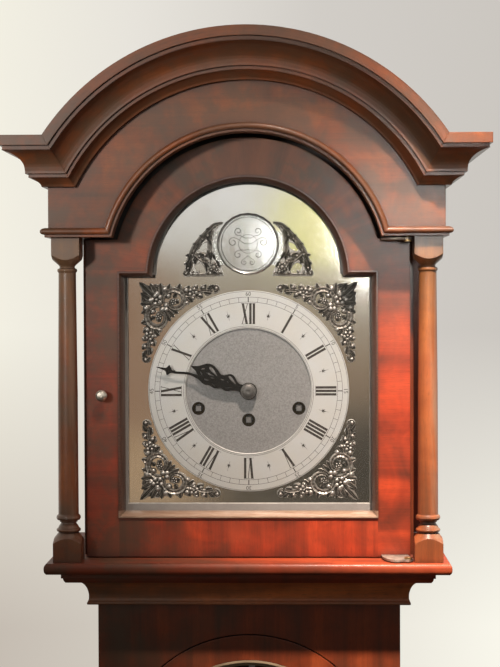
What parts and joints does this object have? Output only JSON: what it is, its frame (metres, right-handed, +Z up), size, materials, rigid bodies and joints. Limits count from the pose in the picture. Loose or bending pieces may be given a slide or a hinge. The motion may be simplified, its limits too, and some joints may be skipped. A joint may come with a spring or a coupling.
{
  "type": "grandmother clock",
  "caption": "Slim mahogany longcase clock with an arched columned hood, glazed doors, brass break-arch dial, spring-driven chiming movement and short pendulum.",
  "frame": {"origin": "on the floor under the middle of the outline", "axes": "+Z up, front towards -Y, +X to the right seen from the front"},
  "size_m": [0.414, 0.23, 1.6002],
  "materials": {
    "mahogany": "polished",
    "brass": "polished",
    "silvered_brass": "silvered satin",
    "oxidised_brass": "oxidised",
    "steel": "satin",
    "blued_steel": "blued",
    "cast_iron": "painted",
    "glass": "clear"
  },
  "bodies": {
    "case": {"plinth_skirting": "mahogany", "base_panels": "mahogany", "base_moulding": "mahogany", "trunk_sides": "mahogany", "trunk_front_frame": "mahogany", "backboard": "mahogany", "throat_moulding": "mahogany", "seatboard": "mahogany", "trunk_hinge_frame_leaves": "brass", "gong_block": "cast_iron", "chime_rods": "steel", "dial_plate": "brass", "chapter_ring": "silvered_brass", "arch_boss": "silvered_brass", "arch_mounts": "oxidised_brass", "corner_spandrels": "oxidised_brass", "front_plate": "brass", "back_plate": "brass"},
    "hood": {"hood_base_frame": "mahogany", "hood_sides": "mahogany", "dial_mask": "mahogany", "hood_frieze": "mahogany", "entablature_boards": "mahogany", "hood_roof": "mahogany", "cornice_arch": "mahogany", "cornice_returns": "mahogany", "frieze_bead": "mahogany", "columns": "mahogany", "hood_hinge_pins": "brass"},
    "hood_door": {"hood_door_frame": "mahogany", "hood_door_straps": "brass", "sight_moulding": "mahogany", "hood_door_glass": "glass", "hood_door_knob": "brass"},
    "trunk_door": {"trunk_door_frame": "mahogany", "trunk_sight_bead": "mahogany", "trunk_door_glass": "glass", "trunk_hinge_door_leaves": "brass", "trunk_door_knob": "brass"},
    "minute_hand": {"minute_hand": "blued_steel", "hand_nut": "brass", "cannon_pinion": "brass"},
    "hour_hand": {"hour_hand": "blued_steel", "hour_wheel": "brass"},
    "minute_wheel": {"minute_wheel": "brass"},
    "strike_winding": {"winding_arbor_strike": "steel"},
    "going_winding": {"winding_arbor_going": "steel"},
    "chime_winding": {"winding_arbor_chime": "steel"},
    "strike_barrel": {"strike_barrel": "brass"},
    "going_barrel": {"going_barrel": "brass"},
    "chime_barrel": {"chime_barrel": "brass"},
    "centre_wheel": {"centre_wheel": "brass"},
    "third_wheel": {"third_wheel": "brass"},
    "escape_wheel": {"escape_wheel": "brass"},
    "anchor": {"anchor_and_crutch": "steel"},
    "pendulum": {"pendulum_rod": "steel", "pendulum_bob": "brass", "rating_nut": "brass", "suspension_spring": "steel"},
    "hammers": {"chime_hammers": "brass"}
  },
  "joints": [
    {"name": "hood_slide", "type": "slide", "parent": "case", "child": "hood", "axis": [0, -1, 0], "range_m": [0, 0.26]},
    {"name": "hood_door_hinge", "type": "hinge", "parent": "hood", "child": "hood_door", "pos_m": [0.139, -0.073, 1.1445], "axis": [0, 0, 1], "range_deg": [0, 110]},
    {"name": "trunk_door_hinge", "type": "hinge", "parent": "case", "child": "trunk_door", "pos_m": [0.1185, -0.0447, 0.7], "axis": [0, 0, 1], "range_deg": [0, 105]},
    {"name": "minute_hand_turn", "type": "hinge", "parent": "case", "child": "minute_hand", "pos_m": [0, -0.0318, 1.2885], "axis": [0, 1, 0], "continuous": true},
    {"name": "hour_hand_turn", "type": "hinge", "parent": "case", "child": "hour_hand", "pos_m": [0, -0.029, 1.2885], "axis": [0, 1, 0], "continuous": true},
    {"name": "minute_wheel_turn", "type": "hinge", "parent": "case", "child": "minute_wheel", "pos_m": [0, -0.0135, 1.3065], "axis": [0, 1, 0], "continuous": true},
    {"name": "strike_winding_turn", "type": "hinge", "parent": "case", "child": "strike_winding", "pos_m": [-0.045, -0.02, 1.2729], "axis": [0, 1, 0], "continuous": true},
    {"name": "going_winding_turn", "type": "hinge", "parent": "case", "child": "going_winding", "pos_m": [0, -0.02, 1.26249], "axis": [0, 1, 0], "continuous": true},
    {"name": "chime_winding_turn", "type": "hinge", "parent": "case", "child": "chime_winding", "pos_m": [0.045, -0.02, 1.2729], "axis": [0, 1, 0], "continuous": true},
    {"name": "strike_barrel_turn", "type": "hinge", "parent": "case", "child": "strike_barrel", "pos_m": [-0.045, 0.012, 1.2729], "axis": [0, 1, 0], "continuous": true},
    {"name": "chime_barrel_turn", "type": "hinge", "parent": "case", "child": "chime_barrel", "pos_m": [0.045, 0.012, 1.2729], "axis": [0, 1, 0], "continuous": true},
    {"name": "escape_wheel_turn", "type": "hinge", "parent": "case", "child": "escape_wheel", "pos_m": [0, 0.012, 1.32221], "axis": [0, 1, 0], "continuous": true},
    {"name": "third_wheel_turn", "type": "hinge", "parent": "case", "child": "third_wheel", "pos_m": [-0.01414, 0.022, 1.30535], "axis": [0, 1, 0], "continuous": true},
    {"name": "centre_wheel_turn", "type": "hinge", "parent": "case", "child": "centre_wheel", "pos_m": [0, 0.03, 1.2885], "axis": [0, 1, 0], "continuous": true},
    {"name": "going_barrel_turn", "type": "hinge", "parent": "case", "child": "going_barrel", "pos_m": [0, 0.012, 1.26249], "axis": [0, 1, 0], "continuous": true},
    {"name": "pendulum_swing", "type": "hinge", "parent": "case", "child": "pendulum", "pos_m": [0, 0.058, 1.34121], "axis": [0, 1, 0], "range_deg": [-3.5, 3.5]},
    {"name": "anchor_rock", "type": "hinge", "parent": "case", "child": "anchor", "pos_m": [0, 0.012, 1.34121], "axis": [0, 1, 0], "range_deg": [-3.5, 3.5]},
    {"name": "hammer_lift", "type": "hinge", "parent": "case", "child": "hammers", "pos_m": [0.056, 0.078, 1.2065], "axis": [-1, 0, 0], "range_deg": [0, 12]}
  ],
  "couplings": [
    {"joint": "hour_hand_turn", "follows": "minute_hand_turn", "ratio": 0.083333},
    {"joint": "minute_wheel_turn", "follows": "minute_hand_turn", "ratio": -0.33333},
    {"joint": "third_wheel_turn", "follows": "escape_wheel_turn", "ratio": -0.1},
    {"joint": "centre_wheel_turn", "follows": "escape_wheel_turn", "ratio": 0.01},
    {"joint": "going_barrel_turn", "follows": "escape_wheel_turn", "ratio": -0.0018182},
    {"joint": "anchor_rock", "follows": "pendulum_swing", "ratio": 1}
  ]
}
